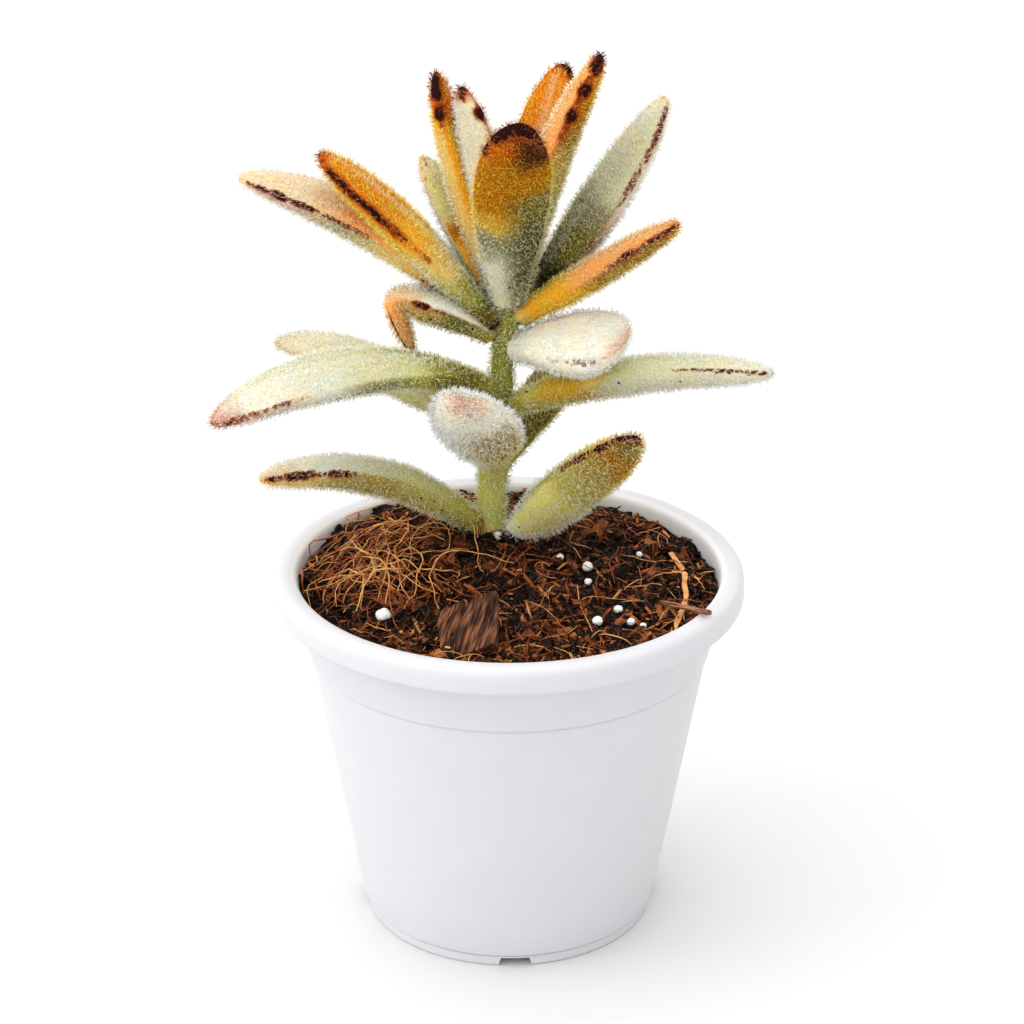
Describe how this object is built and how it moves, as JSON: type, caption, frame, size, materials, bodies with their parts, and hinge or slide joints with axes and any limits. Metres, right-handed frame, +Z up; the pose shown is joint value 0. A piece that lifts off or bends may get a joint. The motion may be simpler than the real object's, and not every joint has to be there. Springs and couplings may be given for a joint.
{
  "type": "panda plant in a nursery pot",
  "caption": "Potted panda plant: fleshy furry leaves with browned margins round one upright stem, in potting mix in a white flared-rim nursery pot.",
  "frame": {"origin": "centre of the pot's base, on the surface that the pot stands on", "axes": "+Z up along the pot's axis, -Y towards the plant's front, +X to the right as seen from the front"},
  "size_m": [0.1218, 0.105, 0.1947],
  "materials": {
    "pot_plastic": "smooth white moulded plastic, slightly satin",
    "potting_mix": "dark brown bark fines and fibres",
    "bark": "fissured dry bark",
    "coir": "tan coir fibre",
    "perlite": "white expanded perlite",
    "stem": "green stem with white felt",
    "leaf_felt": "grey-green skin with dense pale hairs and dark brown margins",
    "leaf_bronze": "orange-flushed skin with dense hairs and dark brown margins"
  },
  "bodies": {
    "root": {"bark_chunk": "bark", "bud_leaf_left": "leaf_felt", "bud_leaf_right": "leaf_felt", "coir_strip": "coir", "coir_tuft": "coir", "leaf_collar_front": "leaf_felt", "leaf_collar_left": "leaf_felt", "leaf_inner_back": "leaf_bronze", "leaf_inner_back_left": "leaf_bronze", "leaf_inner_centre": "leaf_bronze", "leaf_inner_front": "leaf_bronze", "leaf_inner_left": "leaf_bronze", "leaf_inner_right": "leaf_bronze", "leaf_low_left": "leaf_felt", "leaf_low_right": "leaf_felt", "leaf_mid_back_left": "leaf_felt", "leaf_mid_back_right": "leaf_felt", "leaf_mid_front": "leaf_felt", "leaf_mid_left": "leaf_felt", "leaf_mid_right": "leaf_felt", "leaf_outer_back": "leaf_felt", "leaf_outer_left": "leaf_felt", "leaf_outer_low_right": "leaf_bronze", "leaf_outer_right": "leaf_felt", "leaf_outer_upper_left": "leaf_bronze", "perlite_1": "perlite", "perlite_10": "perlite", "perlite_2": "perlite", "perlite_3": "perlite", "perlite_4": "perlite", "perlite_5": "perlite", "perlite_6": "perlite", "perlite_7": "perlite", "perlite_8": "perlite", "perlite_9": "perlite", "pot": "pot_plastic", "potting_mix": "potting_mix", "stem": "stem", "twig": "bark"}
  },
  "joints": []
}
